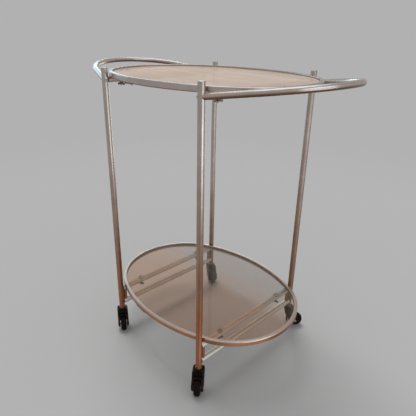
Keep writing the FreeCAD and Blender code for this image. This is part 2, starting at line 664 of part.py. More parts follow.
def make_seal(label, base):
    """Soft channel pressed on the edge of the glass and into the groove of the rim."""
    ring, last = oval_channel(
        label, "-sizes.rim_width / 2 + sizes.rim_groove_depth - sizes.push_fit_gap",
        "-sizes.rim_width / 2 - sizes.seal_lip",
        f"{GROOVE_HEIGHT} - sizes.push_fit_gap", f"{base} + {GLASS_UNDERSIDE} - sizes.seal_thickness",
        "-sizes.rim_width / 2 + sizes.rim_groove_depth - sizes.push_fit_gap - sizes.seal_thickness",
        "sizes.seal_thickness", "sizes.glass_thickness + sizes.glass_gap - sizes.push_fit_gap",
    )
    keep(ring, label)


def make_glass(label, base):
    """Oval pane with ground edges."""
    pane = body(label + "_pane")
    shape = sketch(pane, label + "_outline", "XY_Plane")
    edge = ("-sizes.rim_width / 2 + sizes.rim_groove_depth - sizes.push_fit_gap"
            " - sizes.seal_thickness - sizes.glass_gap")
    oval(shape, edge)
    last = pad(pane, shape, "sizes.glass_thickness")
    levels = (0, number("sizes.glass_thickness"))
    round_edges(pane, last, "sizes.glass_edge_rounding", lambda e: is_oval_edge(e, number(edge), levels))
    place(pane, z=base)
    keep(pane, label)


splice_screw = body("splice_screw")
turned(splice_screw, "splice_screw_profile", [
    ("0", "-sizes.splice_head_height"),
    ("sizes.splice_crown_diameter / 2", "-sizes.splice_head_height"),
    ("sizes.splice_head_diameter / 2", "0"),
    ("sizes.splice_screw_diameter / 2", "0"),
    ("sizes.splice_screw_diameter / 2", "sizes.splice_thickness + sizes.splice_screw_bite"),
    ("0", "sizes.splice_thickness + sizes.splice_screw_bite"),
])
DOC.recompute()
for level, rim_base, glass_base, crossbar_z in (
    ("top", TOP_RIM_BASE, TOP_GLASS_BASE, TOP_CROSSBAR_Z),
    ("bottom", "sizes.bottom_rim_height", BOTTOM_GLASS_BASE, BOTTOM_CROSSBAR_Z),
):
    make_rim(f"{level}_rim", rim_base, crossbar_z)
    make_seal(f"{level}_seal", rim_base)
    make_glass(f"{level}_glass", glass_base)
    make_splice(f"{level}_rim_splice", rim_base)
    make_splice_screws(f"{level}_splice_screws", splice_screw, rim_base)


# ---------------------------------------------------------------- cross tubes of the end frames
def cross_tube(label, side, height, diameter, wall, bolt_offset=None):
    """Tube from leg to leg along Y, shaped to the legs at both ends, with bolt holes where asked."""
    tube = body(label + "_tube")
    ring = sketch(tube, label + "_section", "XZ_Plane")
    circle(ring, f"{diameter} / 2")
    circle(ring, f"{diameter} / 2 - {wall}")
    pad(tube, ring, "sizes.leg_spread_wide - 2 * sizes.cross_tube_setback", both_ways=True)
    copes = sketch(tube, label + "_copes", "XY_Plane")
    for across in (-1, 1):
        circle(copes, f"{LEG_RADIUS} + sizes.cope_gap", y=f"{across} * {LEG_Y}")
    pocket(tube, copes, through=True)
    if bolt_offset:
        holes = sketch(tube, label + "_bolt_holes", "XY_Plane")
        for across in (-1, 1):
            circle(holes, "sizes.bolt_diameter / 2 + sizes.bolt_hole_gap", y=f"{across} * {bolt_offset}")
        pocket(tube, holes, through=True)
    place(tube, x=f"{side} * {LEG_X}", z=height)
    keep(tube, label)


def dowel_spots(height):
    """Placements on the leg axes whose Z points inwards along the cross tube."""
    spots = []
    for side, across, trail in CORNERS.values():
        point = FreeCAD.Vector(side * number(LEG_X), across * number(LEG_Y), number(height))
        spots.append(along(point, FreeCAD.Vector(0, -across, 0)))
    return spots


def dowel(name, bore):
    """Solid dowel of a tube end, with a spigot that fits the hole in the leg."""
    made = body(name)
    start = f"{LEG_RADIUS} + sizes.dowel_setback"
    turned(made, name + "_profile", [
        ("0", f"{LEG_BORE} + sizes.push_fit_gap"),
        ("sizes.spigot_diameter / 2", f"{LEG_BORE} + sizes.push_fit_gap"),
        ("sizes.spigot_diameter / 2", start),
        (f"{bore} - sizes.push_fit_gap", start),
        (f"{bore} - sizes.push_fit_gap", f"{start} + sizes.dowel_length"),
        ("0", f"{start} + sizes.dowel_length"),
    ])
    DOC.recompute()
    return made


crossbar_bore = "sizes.crossbar_diameter / 2 - sizes.crossbar_wall"
crossbar_dowel = dowel("crossbar_dowel", crossbar_bore)
rail_dowel = dowel("rail_dowel", "sizes.rail_diameter / 2 - sizes.rail_wall")
for end, side in ENDS.items():
    cross_tube(f"{end}_top_crossbar", side, TOP_CROSSBAR_Z,
               "sizes.crossbar_diameter", "sizes.crossbar_wall", TOP_BOLT_Y)
    cross_tube(f"{end}_bottom_crossbar", side, BOTTOM_CROSSBAR_Z,
               "sizes.crossbar_diameter", "sizes.crossbar_wall", BOTTOM_BOLT_Y)
    cross_tube(f"{end}_lower_rail", side, "sizes.rail_height", "sizes.rail_diameter", "sizes.rail_wall")
copies("top_crossbar_dowels", crossbar_dowel, dowel_spots(TOP_CROSSBAR_Z))
copies("bottom_crossbar_dowels", crossbar_dowel, dowel_spots(BOTTOM_CROSSBAR_Z))
copies("rail_dowels", rail_dowel, dowel_spots("sizes.rail_height"))

post = body("rail_post")
post_disc = sketch(post, "post_section", "XY_Plane", "sizes.rail_height")
circle(post_disc, "sizes.post_diameter / 2")
pad(post, post_disc, f"{BOTTOM_CROSSBAR_Z} - sizes.rail_height")
post_copes = sketch(post, "post_copes", "YZ_Plane")
circle(post_copes, "sizes.rail_diameter / 2 + sizes.cope_gap", y="sizes.rail_height")
circle(post_copes, "sizes.crossbar_diameter / 2 + sizes.cope_gap", y=BOTTOM_CROSSBAR_Z)
pocket(post, post_copes, through=True)
DOC.recompute()
copies("rail_posts", post, [
    spot(side * number(LEG_X), across * number(POST_Y), 0, 90)
    for side, across, trail in CORNERS.values()
])


# ---------------------------------------------------------------- tray bolts, wing nuts and glass pads
bolt = body("tray_bolt")
turned(bolt, "bolt_profile", [
    ("0", "-sizes.crossbar_diameter / 2 - sizes.wing_nut_height - sizes.cope_gap - sizes.bolt_tail"),
    ("sizes.bolt_diameter / 2",
     "-sizes.crossbar_diameter / 2 - sizes.wing_nut_height - sizes.cope_gap - sizes.bolt_tail"),
    ("sizes.bolt_diameter / 2",
     "sizes.crossbar_diameter / 2 + sizes.pad_thickness - sizes.cope_gap - sizes.bolt_head_thickness"),
    ("sizes.bolt_head_diameter / 2",
     "sizes.crossbar_diameter / 2 + sizes.pad_thickness - sizes.cope_gap - sizes.bolt_head_thickness"),
    ("sizes.bolt_head_diameter / 2", "sizes.crossbar_diameter / 2 + sizes.pad_thickness - sizes.cope_gap"),
    ("0", "sizes.crossbar_diameter / 2 + sizes.pad_thickness - sizes.cope_gap"),
])

rubber = body("glass_pad")
turned(rubber, "pad_profile", [
    ("sizes.bolt_diameter / 2", "sizes.crossbar_diameter / 2 - sizes.pad_wrap"),
    ("sizes.pad_diameter / 2", "sizes.crossbar_diameter / 2 - sizes.pad_wrap"),
    ("sizes.pad_diameter / 2", "sizes.crossbar_diameter / 2 + sizes.pad_thickness"),
    ("sizes.bolt_head_diameter / 2", "sizes.crossbar_diameter / 2 + sizes.pad_thickness"),
    ("sizes.bolt_head_diameter / 2",
     "sizes.crossbar_diameter / 2 + sizes.pad_thickness - sizes.cope_gap - sizes.bolt_head_thickness"),
    ("sizes.bolt_diameter / 2",
     "sizes.crossbar_diameter / 2 + sizes.pad_thickness - sizes.cope_gap - sizes.bolt_head_thickness"),
])
pad_saddle = sketch(rubber, "pad_saddle", "XZ_Plane")
circle(pad_saddle, "sizes.crossbar_diameter / 2")
pocket(rubber, pad_saddle, through=True)

wing = body("wing_nut")
turned(wing, "wing_hub", [
    ("sizes.bolt_diameter / 2", "-sizes.wing_nut_height"),
    ("sizes.wing_hub_end_diameter / 2", "-sizes.wing_nut_height"),
    ("sizes.wing_hub_diameter / 2", "0"),
    ("sizes.bolt_diameter / 2", "0"),
])
ears = sketch(wing, "wing_ears", "XZ_Plane")
for side in (-1, 1):
    outline(ears, [
        (f"{side} * sizes.wing_hub_end_diameter / 2 - {side} * sizes.push_fit_gap", "-sizes.wing_nut_height"),
        (f"{side} * sizes.wing_span / 2 - {side} * sizes.wing_taper", "-sizes.wing_depth"),
        (f"{side} * sizes.wing_span / 2", "-sizes.wing_depth + sizes.wing_blade"),
        (f"{side} * sizes.wing_hub_end_diameter / 2 - {side} * sizes.push_fit_gap",
         "-sizes.wing_nut_height + sizes.wing_blade"),
    ])
blades = pad(wing, ears, "sizes.wing_thickness", both_ways=True)
hub_radius = number("sizes.wing_hub_diameter / 2")


def at_wing_corner(edge):
    box = edge.BoundBox
    across_blade = max(box.XMax - box.XMin, box.ZMax - box.ZMin) < SAME_PLACE
    return across_blade and min(abs(box.XMin), abs(box.XMax)) > hub_radius


round_edges(wing, blades, "sizes.wing_rounding", at_wing_corner)
DOC.recompute()

for level, crossbar_z, offset in (
    ("top", TOP_CROSSBAR_Z, TOP_BOLT_Y),
    ("bottom", BOTTOM_CROSSBAR_Z, BOTTOM_BOLT_Y),
):
    spots = [
        spot(side * number(LEG_X), across * number(offset), number(crossbar_z))
        for side, across, trail in CORNERS.values()
    ]
    copies(f"{level}_tray_bolts", bolt, spots)
    copies(f"{level}_glass_pads", rubber, spots)
    under = number("sizes.crossbar_diameter / 2 + sizes.cope_gap")
    turns = (25, 70, -40, 10)  # degrees from the tube's square, as hand-tightened nuts stand
    copies(f"{level}_wing_nuts", wing, [
        seat.multiply(spot(0, 0, -under, turn)) for seat, turn in zip(spots, turns)
    ])


# ---------------------------------------------------------------- castors
def at_castor(thing, side, across, trail, height="0", reach=False):
    """Place a castor piece on its leg axis, or on the wheel axis when reach is set."""
    x = f"{side} * {LEG_X}"
    y = f"{across} * {LEG_Y}"
    if reach:
        x += f" + sizes.castor_trail * cos({trail})"
        y += f" + sizes.castor_trail * sin({trail})"
    place(thing, x, y, height, trail)


def make_fork(label, side, across, trail):
    """Hood with two cheeks: a side outline across the full width, hollowed for the wheel."""
    fork = body(label)
    profile = sketch(fork, label + "_outline", "XZ_Plane")
    outline(profile, [
        ("-sizes.hood_front", FORK_TOP),
        ("-sizes.hood_throat", "sizes.hood_throat_height"),
        ("sizes.cheek_front", "sizes.cheek_front_height"),
        ("sizes.castor_trail - sizes.cheek_half_width", f"{WHEEL_RADIUS} - sizes.cheek_drop"),
        ("sizes.castor_trail + sizes.cheek_half_width", f"{WHEEL_RADIUS} - sizes.cheek_drop"),
        ("sizes.castor_trail + sizes.cheek_back", "sizes.cheek_back_height"),
        ("sizes.hood_back", "sizes.hood_back_low"),
        ("sizes.hood_back", "sizes.hood_back_high"),
        ("sizes.hood_crown", FORK_TOP),
    ])
    last = pad(fork, profile, "sizes.fork_width", both_ways=True)
    half = number("sizes.fork_width") / 2
    axle_height = number(WHEEL_RADIUS)

    def across_hood(edge):
        return edge.BoundBox.YMax - edge.BoundBox.YMin > half

    def at_cheek_end(edge):
        return across_hood(edge) and edge.BoundBox.ZMax < axle_height

    def at_hood_corner(edge):
        return across_hood(edge) and edge.BoundBox.ZMin > axle_height

    last = round_edges(fork, last, "sizes.cheek_rounding", at_cheek_end)
    last = round_edges(fork, last, "sizes.hood_rounding", at_hood_corner)

    def on_side(edge):
        box = edge.BoundBox
        return box.YMax - box.YMin < SAME_PLACE and abs(abs(box.YMax) - half) < SAME_PLACE

    last = round_edges(fork, last, "sizes.fork_rounding", on_side)
    well = sketch(fork, label + "_well", "XZ_Plane")
    circle(well, WELL_RADIUS, "sizes.castor_trail", WHEEL_RADIUS)
    cut = fork.newObject("PartDesign::Pocket", label + "_well_cut")
    cut.Profile = well
    cut.SideType = "Symmetric"
    bind(cut, Length="sizes.tyre_width + 2 * sizes.fork_side_gap")
    bore = sketch(fork, label + "_axle_bore", "XZ_Plane")
    circle(bore, "sizes.axle_diameter / 2", "sizes.castor_trail", WHEEL_RADIUS)
    pocket(fork, bore, through=True)
    socket = sketch(fork, label + "_stem_bore", "XY_Plane", "sizes.stem_bottom_height")
    circle(socket, "sizes.stem_diameter / 2")
    pocket(fork, socket, "sizes.leg_foot_height")
    at_castor(fork, side, across, trail)
    keep(fork, label)


def make_wheel(points, label, side, across, trail, rounding=None):
    """A piece of the wheel, turned about its own axis and laid on the wheel axis."""
    ring = body(label)
    last = turned(ring, f"{label}_profile", points)
    if rounding:
        outer = number(WHEEL_RADIUS)
        round_edges(ring, last, rounding, lambda e: getattr(e.Curve, "Radius", 0) > outer - SAME_PLACE)
    at_castor(ring, side, across, trail, WHEEL_RADIUS, reach=True)
    heading = FreeCAD.Rotation(FreeCAD.Vector(0, 0, 1), trail)
    lay_down = FreeCAD.Rotation(FreeCAD.Vector(1, 0, 0), 90)
    ring.Placement.Rotation = heading.multiply(lay_down)
    keep(ring, label)
    return ring


HALF_TYRE = "sizes.tyre_width / 2"
TYRE_POINTS = [
    ("sizes.hub_diameter / 2", f"-{HALF_TYRE} + sizes.tyre_inset"),
    (WHEEL_RADIUS, f"-{HALF_TYRE}"),
    (WHEEL_RADIUS, HALF_TYRE),
    ("sizes.hub_diameter / 2", f"{HALF_TYRE} - sizes.tyre_inset"),
]
HUB_BORE = "(sizes.axle_diameter / 2 + sizes.axle_gap)"
HUB_RIM = "(sizes.hub_diameter / 2 - sizes.hub_dish_depth)"
HUB_FACE = "(sizes.tyre_width / 2 - sizes.tyre_inset)"
HUB_POINTS = [
    (HUB_BORE, f"-{HUB_FACE}"),
    ("sizes.hub_boss_diameter / 2", f"-{HUB_FACE}"),
    ("sizes.hub_boss_diameter / 2", f"-{HUB_FACE} + sizes.hub_dish_depth"),
    (HUB_RIM, f"-{HUB_FACE} + sizes.hub_dish_depth"),
    (HUB_RIM, f"-{HUB_FACE}"),
    ("sizes.hub_diameter / 2", f"-{HUB_FACE}"),
    ("sizes.hub_diameter / 2", HUB_FACE),
    (HUB_RIM, HUB_FACE),
    (HUB_RIM, f"{HUB_FACE} - sizes.hub_dish_depth"),
    ("sizes.hub_boss_diameter / 2", f"{HUB_FACE} - sizes.hub_dish_depth"),
    ("sizes.hub_boss_diameter / 2", HUB_FACE),
    (HUB_BORE, HUB_FACE),
]
HALF_FORK = "sizes.fork_width / 2"
AXLE_POINTS = [
    ("0", f"-{HALF_FORK} - sizes.axle_head_thickness"),
    ("sizes.axle_crown_diameter / 2", f"-{HALF_FORK} - sizes.axle_head_thickness"),
    ("sizes.axle_head_diameter / 2", f"-{HALF_FORK}"),
    ("sizes.axle_diameter / 2", f"-{HALF_FORK}"),
    ("sizes.axle_diameter / 2", HALF_FORK),
    ("sizes.axle_head_diameter / 2", HALF_FORK),
    ("sizes.axle_crown_diameter / 2", f"{HALF_FORK} + sizes.axle_head_thickness"),
    ("0", f"{HALF_FORK} + sizes.axle_head_thickness"),
]
STEM_POINTS = [
    ("0", "sizes.stem_bottom_height"),
    ("sizes.stem_diameter / 2", "sizes.stem_bottom_height"),
    ("sizes.stem_diameter / 2", "sizes.stem_top_height - sizes.stem_chamfer"),
    ("sizes.stem_diameter / 2 - sizes.stem_chamfer", "sizes.stem_top_height"),
    ("0", "sizes.stem_top_height"),
]

for corner, (side, across, trail) in CORNERS.items():
    make_fork(f"{corner}_castor_fork", side, across, trail)
    stem = body(f"{corner}_castor_stem")
    turned(stem, f"{corner}_stem_profile", STEM_POINTS)
    at_castor(stem, side, across, trail)
    keep(stem, f"{corner}_castor_stem")
    make_wheel(AXLE_POINTS, f"{corner}_castor_axle", side, across, trail)
    make_wheel(HUB_POINTS, f"{corner}_castor_hub", side, across, trail)
    make_wheel(TYRE_POINTS, f"{corner}_castor_tyre", side, across, trail, "sizes.tyre_rounding")

sleeve = body("castor_socket")
SLEEVE_BORE = "sizes.stem_diameter / 2 + sizes.stem_gap"
turned(sleeve, "sleeve_profile", [
    (SLEEVE_BORE, "-sizes.socket_flange_thickness"),
    ("sizes.socket_flange_diameter / 2", "-sizes.socket_flange_thickness"),
    ("sizes.socket_flange_diameter / 2", "0"),
    (f"{LEG_BORE} - sizes.push_fit_gap", "0"),
    (f"{LEG_BORE} - sizes.push_fit_gap", "sizes.socket_length"),
    (SLEEVE_BORE, "sizes.socket_length"),
])
DOC.recompute()
copies("castor_sockets", sleeve, leg_spots(number("sizes.leg_foot_height")))


# ---------------------------------------------------------------- check and write
DOC.recompute()
for thing in DOC.Objects:
    if "Invalid" in thing.State or "Error" in thing.State:
        raise RuntimeError(f"{thing.Name} failed: {thing.State}")
for thing in PARTS:
    if thing.Shape.isNull() or not thing.Shape.isValid():
        raise RuntimeError(f"{thing.Label} has no valid shape")

os.makedirs("parts", exist_ok=True)
whole = FreeCAD.BoundBox()
for thing in PARTS:
    thing.Shape.exportStep(f"parts/{thing.Label}.step")
    whole.add(thing.Shape.BoundBox)
    print(f"{thing.Label:28s} solids {len(thing.Shape.Solids)} volume {thing.Shape.Volume:10.1f}")
print(len(PARTS), "nodes, box", whole)
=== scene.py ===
"""Oval two-tier tea trolley: its finishes and small fittings, with the floor, light and camera."""
import math

import bpy
from mathutils import Matrix, Vector


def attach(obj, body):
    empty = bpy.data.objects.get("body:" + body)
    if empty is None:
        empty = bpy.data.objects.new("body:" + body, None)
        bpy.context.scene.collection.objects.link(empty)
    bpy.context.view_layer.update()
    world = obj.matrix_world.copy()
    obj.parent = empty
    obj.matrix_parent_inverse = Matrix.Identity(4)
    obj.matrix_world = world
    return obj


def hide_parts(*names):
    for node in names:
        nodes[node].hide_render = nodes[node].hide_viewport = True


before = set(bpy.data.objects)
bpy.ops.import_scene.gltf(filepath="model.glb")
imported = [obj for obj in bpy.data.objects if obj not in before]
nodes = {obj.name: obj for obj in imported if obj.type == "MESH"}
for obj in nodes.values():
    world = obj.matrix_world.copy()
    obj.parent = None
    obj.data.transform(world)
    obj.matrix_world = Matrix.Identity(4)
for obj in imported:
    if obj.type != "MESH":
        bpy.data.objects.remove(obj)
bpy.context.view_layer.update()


# Camera: a three-quarter view from the front right at waist height, looking down on the trays.
# Its place is in metres in the trolley's frame, and its angles are the lens's heading, dip and lean.
camera_place = Vector((0.7327, -0.7178, 0.8126))
camera_heading = math.radians(45.53)
camera_dip = math.radians(23.12)
camera_lean = math.radians(1.04)
focal_length_pixels = 420.93
image_pixels = 416
sensor_width = 36.0
quarter_turn = math.radians(90)

camera_data = bpy.data.cameras.new("camera")
camera_data.sensor_width = sensor_width
camera_data.lens = sensor_width * focal_length_pixels / image_pixels
camera = bpy.data.objects.new("camera", camera_data)
bpy.context.scene.collection.objects.link(camera)
camera.matrix_world = (
    Matrix.Translation(camera_place)
    @ Matrix.Rotation(camera_heading, 4, "Z")
    @ Matrix.Rotation(quarter_turn - camera_dip, 4, "X")
    @ Matrix.Rotation(camera_lean, 4, "Z")
)
bpy.context.scene.camera = camera


# Legs, with their rail posts: 15 mm drawn aluminium tube, satin anodised and lacquered.  The lacquer
# is a pale champagne at hand height, and towards the floor the tube is painted copper: a painted
# reflection of a warm floor, strongest on the front right leg.  Drawing leaves faint lines, handling
# clouds and pits, and the rear legs are dulled.
mm = 0.001
cloud_size = 45 * mm
cloud_drift = 80 * mm
pit_size = 3 * mm
drawn_line_spacing = 1.2 * mm
drawn_line_depth = 0.05 * mm
outer_side_blend = 20 * mm
leg_lines = (1, 1, 0.02)


def colour(hex_code):
    """An sRGB hex colour as linear red, green, blue and alpha."""
    channels = [int(hex_code[i:i + 2], 16) / 255 for i in (1, 3, 5)]
    linear = [c / 12.92 if c <= 0.04045 else ((c + 0.055) / 1.055) ** 2.4 for c in channels]
    return (*linear, 1.0)


def add(tree, kind, settings=None, **sockets):
    """Adds a node with its settings, among them a colour ramp's stops as positions and colours.

    A socket goes by its name, or by i and its number, and is set to a value or linked to an output.
    """
    node = tree.nodes.new(kind)
    for key, value in (settings or {}).items():
        if key != "stops":
            setattr(node, key, value)
            continue
        elements = node.color_ramp.elements
        while len(elements) < len(value):
            elements.new(1.0)
        for element, (position, shade) in zip(elements, value):
            element.position = position
            element.color = shade
    for key, value in sockets.items():
        socket = node.inputs[int(key[1:])] if key[0] == "i" and key[1:].isdigit() else node.inputs[key]
        if isinstance(value, bpy.types.NodeSocket):
            tree.links.new(value, socket)
        else:
            socket.default_value = value
    return node


def material(name):
    """A new node material: the material, its node tree, its shader and its Object coordinates."""
    made = bpy.data.materials.new(name)
    made.use_nodes = True
    tree = made.node_tree
    place = add(tree, "ShaderNodeTexCoord").outputs["Object"]
    return made, tree, tree.nodes["Principled BSDF"], place


def dress(finish, *names):
    """Gives CAD nodes a finish."""
    for name in names:
        for material_slot in nodes[name].material_slots:
            material_slot.material = finish


def lacquered_tube(name, lacquer, lines, underside_reflection="#9C6C4C", floor_reflection_share=0.0, turn=(0.3, -0.6),
                   outside=False, low=60 * mm, high=730 * mm, dullness=0.22):
    """Lacquered tube or section, whose tone runs through the lacquer from low to high.

    lines scales the pattern of drawing lines on each axis: a small number draws it out along that
    axis.  A painted reflection of a warm floor comes in on the underside, up to its share, as the
    surface turns down through turn, and with outside only where it faces away from the trolley's middle.
    """
    made, tree, shader, place = material(name)
    height = add(tree, "ShaderNodeSeparateXYZ", Vector=place).outputs["Z"]
    clouds = add(tree, "ShaderNodeTexNoise", Vector=place,
                 Scale=1 / cloud_size, Detail=4.0, Roughness=0.6)
    drift = add(tree, "ShaderNodeMath", {"operation": "MULTIPLY_ADD"},
                i0=clouds.outputs[0], i1=cloud_drift, i2=height)
    level = add(tree, "ShaderNodeMapRange", i0=drift.outputs[0],
                i1=low + cloud_drift / 2, i2=high + cloud_drift / 2)
    tone = add(tree, "ShaderNodeValToRGB", {"stops": lacquer}, Fac=level.outputs[0])
    facing = add(tree, "ShaderNodeNewGeometry").outputs["Normal"]
    down = add(tree, "ShaderNodeSeparateXYZ", Vector=facing)
    # Painted reflection: how far the surface faces down, which brings in the underside's painted floor
    # reflection.
    below = add(tree, "ShaderNodeMapRange", {"interpolation_type": "SMOOTHSTEP"}, i0=down.outputs["Z"],
                i1=turn[0], i2=turn[1], i3=0.0, i4=floor_reflection_share)
    if outside:
        flat = add(tree, "ShaderNodeMapping", Vector=place, Scale=(1, 1, 0))
        outwards = add(tree, "ShaderNodeVectorMath", {"operation": "DOT_PRODUCT"},
                       i0=facing, i1=flat.outputs[0])
        outer = add(tree, "ShaderNodeMapRange", i0=outwards.outputs["Value"],
                    i1=-outer_side_blend, i2=outer_side_blend)
        below = add(tree, "ShaderNodeMath", {"operation": "MULTIPLY"},
                    i0=below.outputs[0], i1=outer.outputs[0])
    # The lacquer's tone with the painted floor reflection mixed in below.
    lacquer_and_reflection = add(tree, "ShaderNodeMix", {"data_type": "RGBA"},
               i0=below.outputs[0], i6=tone.outputs[0], i7=colour(underside_reflection))
    specks = add(tree, "ShaderNodeTexNoise", Vector=place, Scale=1 / pit_size, Detail=2.0)
    pits = add(tree, "ShaderNodeMapRange", i0=specks.outputs[0], i1=0.72, i2=0.84)
    shade = add(tree, "ShaderNodeMapRange", i0=clouds.outputs[0], i1=0.25, i2=0.75, i3=0.9, i4=1.08)
    pitted = add(tree, "ShaderNodeMath", {"operation": "MULTIPLY_ADD"},
                 i0=pits.outputs[0], i1=-0.10, i2=shade.outputs[0])
    worn = add(tree, "ShaderNodeHueSaturation", Value=pitted.outputs[0], Color=lacquer_and_reflection.outputs[2])
    along = add(tree, "ShaderNodeMapping", Vector=place, Scale=lines)
    drawn = add(tree, "ShaderNodeTexNoise", Vector=along.outputs[0],
                Scale=1 / drawn_line_spacing, Detail=3.0)
    gloss = add(tree, "ShaderNodeMapRange", i0=clouds.outputs[0],
                i1=0.3, i2=0.7, i3=dullness + 0.07, i4=dullness)
    brushed = add(tree, "ShaderNodeMath", {"operation": "MULTIPLY_ADD"},
                  i0=drawn.outputs[0], i1=0.04, i2=gloss.outputs[0])
    matt = add(tree, "ShaderNodeMath", {"operation": "MULTIPLY_ADD"},
               i0=pits.outputs[0], i1=0.12, i2=brushed.outputs[0])
    relief = add(tree, "ShaderNodeBump", Height=drawn.outputs[0],
                 Strength=0.015, Distance=drawn_line_depth)
    shader.inputs["Metallic"].default_value = 1.0
    tree.links.new(worn.outputs[0], shader.inputs["Base Color"])
    tree.links.new(matt.outputs[0], shader.inputs["Roughness"])
    tree.links.new(relief.outputs[0], shader.inputs["Normal"])
    return made


# The champagne stops are the lacquer's own colour; the copper stops towards the foot are a painted
# reflection of a warm floor.
leg_lacquer_and_floor_reflection = (
    (0.00, colour("#BC7C5A")), (0.20, colour("#9C6448")), (0.35, colour("#967058")),
    (0.52, colour("#A48A79")), (0.75, colour("#BFB0A6")), (1.00, colour("#C6BAB0")),
)
# How far up each leg the painted floor reflection runs.
leg_reflection_reach = {
    "front_left": (-60 * mm, 700 * mm), "front_right": (60 * mm, 730 * mm),
    "rear_left": (-410 * mm, 680 * mm), "rear_right": (-400 * mm, 1000 * mm),
}
leg_dullness = {"front_left": 0.22, "front_right": 0.22, "rear_left": 0.36, "rear_right": 0.52}
corners = ("front_left", "front_right", "rear_left", "rear_right")
for corner in corners:
    low, high = leg_reflection_reach[corner]
    leg_tube = lacquered_tube(f"lacquered satin anodised aluminium tube, {corner} leg".replace("_", " "),
                              leg_lacquer_and_floor_reflection, leg_lines, low=low, high=high, dullness=leg_dullness[corner])
    dress(leg_tube, f"{corner}_leg")
# The posts are as dull as the rear right leg, whose tube they share.
dress(leg_tube, "rail_posts")


# Leg end plugs: aluminium, faced on a lathe and pushed into the tops of the legs.  Facing leaves
# fine rings round the leg's axis, and the chamfered edge stays brighter than the tube.
leg_x = 163.7 * mm
leg_y = 181 * mm
# A wave pattern turns through 20 radians in one unit, so these rings lie 2.5 mm apart.
wave_turn = 20
ring_radian = 0.4 * mm

plug_metal, tree, shader, place = material("turned aluminium, faced")
quarter = add(tree, "ShaderNodeVectorMath", {"operation": "ABSOLUTE"}, i0=place)
centred = add(tree, "ShaderNodeMapping", Vector=quarter.outputs[0], Location=(-leg_x, -leg_y, 0))
rings = add(tree, "ShaderNodeTexWave", {"wave_type": "RINGS", "rings_direction": "Z"},
            Vector=centred.outputs[0], Scale=1 / (wave_turn * ring_radian))
tint = add(tree, "ShaderNodeValToRGB", {"stops": ((0, colour("#A99C90")), (1, colour("#CFC4B8")))},
           Fac=rings.outputs[0])
relief = add(tree, "ShaderNodeBump", Strength=0.25, Distance=0.03 * mm, Height=rings.outputs[0])
shader.inputs["Metallic"].default_value = 1.0
shader.inputs["Roughness"].default_value = 0.3
tree.links.new(tint.outputs[0], shader.inputs["Base Color"])
tree.links.new(relief.outputs[0], shader.inputs["Normal"])
dress(plug_metal, "leg_end_plugs")


# Crossbars and lower rails: the same tube laid across each end frame, its ends shaped to the legs
# and held by turned beech dowels.  The lower bars are palest, and the undersides are painted browner:
# a painted reflection of a warm floor.
cross_lines = (1, 0.02, 1)
cross_lacquer = (
    (0.00, colour("#DAD9D0")), (0.15, colour("#DAD9D0")),
    (0.60, colour("#C8BBB2")), (1.00, colour("#B7A79B")),
)
# The underside tone is a painted reflection of a warm floor.
cross_tube = lacquered_tube("lacquered satin anodised aluminium tube, across",
                            cross_lacquer, cross_lines,
                            underside_reflection="#BBAB9B", floor_reflection_share=0.9, dullness=0.45)
for end in ("left", "right"):
    dress(cross_tube, f"{end}_top_crossbar", f"{end}_bottom_crossbar", f"{end}_lower_rail")

# Beech is plain and pale, with soft growth bands about 9 mm apart.
grain_radian = 1.5 * mm
beech, tree, shader, place = material("turned beech")
grain = add(tree, "ShaderNodeTexWave", Vector=place,
            Scale=1 / (wave_turn * grain_radian), Distortion=3.0)
tint = add(tree, "ShaderNodeValToRGB", {"stops": ((0, colour("#B58A5A")), (1, colour("#C9A173")))},
           Fac=grain.outputs[0])
tree.links.new(tint.outputs[0], shader.inputs["Base Color"])
shader.inputs["Roughness"].default_value = 0.6
dress(beech, "handle_end_plugs", "top_crossbar_dowels", "bottom_crossbar_dowels", "rail_dowels")


# Bow handles: 13 mm tube bent in one sweep from leg to leg, the most handled and so the brightest
# tube; its dark brown underside is painted shade and a painted reflection of a warm floor.  A zinc
# plated screw through the leg draws up each end.
bent_lines = (0.05, 0.05, 0.3)
handle_lacquer = ((0.00, colour("#C8B8AA")), (0.90, colour("#C8B8AA")), (1.00, colour("#CDBFB4")))
# The underside tone is painted shade and a painted reflection of a warm floor.
handle_tube = lacquered_tube("lacquered satin anodised aluminium tube, bent", handle_lacquer, bent_lines,
                             underside_reflection="#6E4C36", floor_reflection_share=0.95, turn=(0.15, -0.45))
for end in ("left", "right"):
    dress(handle_tube, f"{end}_handle")

# Old zinc plating has a mottled grey spangle and a soft, uneven shine.
spangle_size = 2.5 * mm
zinc, tree, shader, place = material("dulled zinc plated steel")
spangle = add(tree, "ShaderNodeTexNoise", Vector=place, Scale=1 / spangle_size, Detail=3.0)
tint = add(tree, "ShaderNodeValToRGB", {"stops": ((0.3, colour("#8A857C")), (0.7, colour("#C4BFB4")))},
           Fac=spangle.outputs[0])
dulling = add(tree, "ShaderNodeMapRange", i0=spangle.outputs[0], i3=0.25, i4=0.45)
tree.links.new(tint.outputs[0], shader.inputs["Base Color"])
tree.links.new(dulling.outputs[0], shader.inputs["Roughness"])
shader.inputs["Metallic"].default_value = 1.0
dress(zinc, "handle_screws")


# Tray rims: an extruded aluminium section bent to an oval and butted at one place on its long side,
# where a flat strip and two screws hold it underneath.  The lacquer is pale, and on the outside below
# the top shoulder it is painted copper-brown: a painted reflection of a warm floor.
rim_lines = (0.05, 0.05, 1)
rim_lacquer = (
    (0.00, colour("#CDB9AC")), (0.20, colour("#CDB9AC")),
    (0.85, colour("#C2B2AC")), (1.00, colour("#C9BAB6")),
)
# Each rim's underside tone is a painted reflection of a warm floor on its outer side.
for level, turn, underside_reflection in (("top", (0.0, -0.7), "#8A5634"), ("bottom", (0.42, -0.05), "#A06E4C")):
    rim_section = lacquered_tube(f"lacquered satin anodised aluminium section, {level}",
                                 rim_lacquer, rim_lines, underside_reflection=underside_reflection, floor_reflection_share=0.95,
                                 turn=turn, outside=True, dullness=0.26)
    dress(rim_section, f"{level}_rim", f"{level}_rim_splice")
dress(zinc, "top_splice_screws", "bottom_splice_screws")


